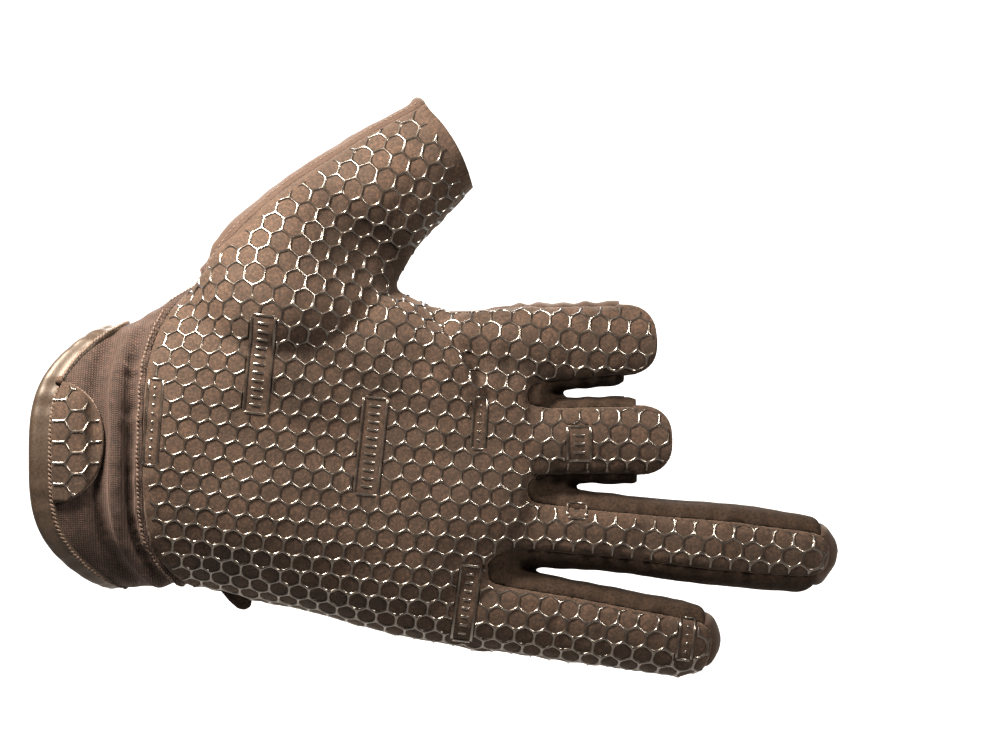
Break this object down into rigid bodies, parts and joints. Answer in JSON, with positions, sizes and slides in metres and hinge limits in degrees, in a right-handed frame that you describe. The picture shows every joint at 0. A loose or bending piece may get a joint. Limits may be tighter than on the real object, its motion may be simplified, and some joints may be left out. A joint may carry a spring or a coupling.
{
  "type": "fishing glove, left hand",
  "caption": "Left-hand angler's glove with three short open fingers, a hexagon grip palm and a bound knit wrist",
  "frame": {"origin": "middle of the wrist opening", "axes": "X from the wrist to the fingertips, Z towards the thumb, the palm faces -Y"},
  "size_m": [0.2137, 0.0477, 0.1542],
  "materials": {
    "printed_suede": "synthetic suede with raised glossy hexagon print",
    "back_fabric": "smooth stretch fabric, matt",
    "strip_fabric": "smooth stretch fabric, matt, darker",
    "wrist_knit": "fine ribbed knit, soft",
    "satin_tape": "folded satin-like tape with a stitched edge",
    "seam_thread": "twisted sewing thread",
    "grip_print": "glossy raised print"
  },
  "bodies": {
    "root": {"palm_panel": "printed_suede", "back_panel": "back_fabric", "finger_strip_index_middle": "strip_fabric", "finger_strip_middle_ring": "strip_fabric", "finger_strip_ring_little": "strip_fabric", "wrist_panel": "wrist_knit", "cuff_binding": "satin_tape", "pull_tab": "printed_suede", "strap_end": "printed_suede"}
  },
  "joints": []
}
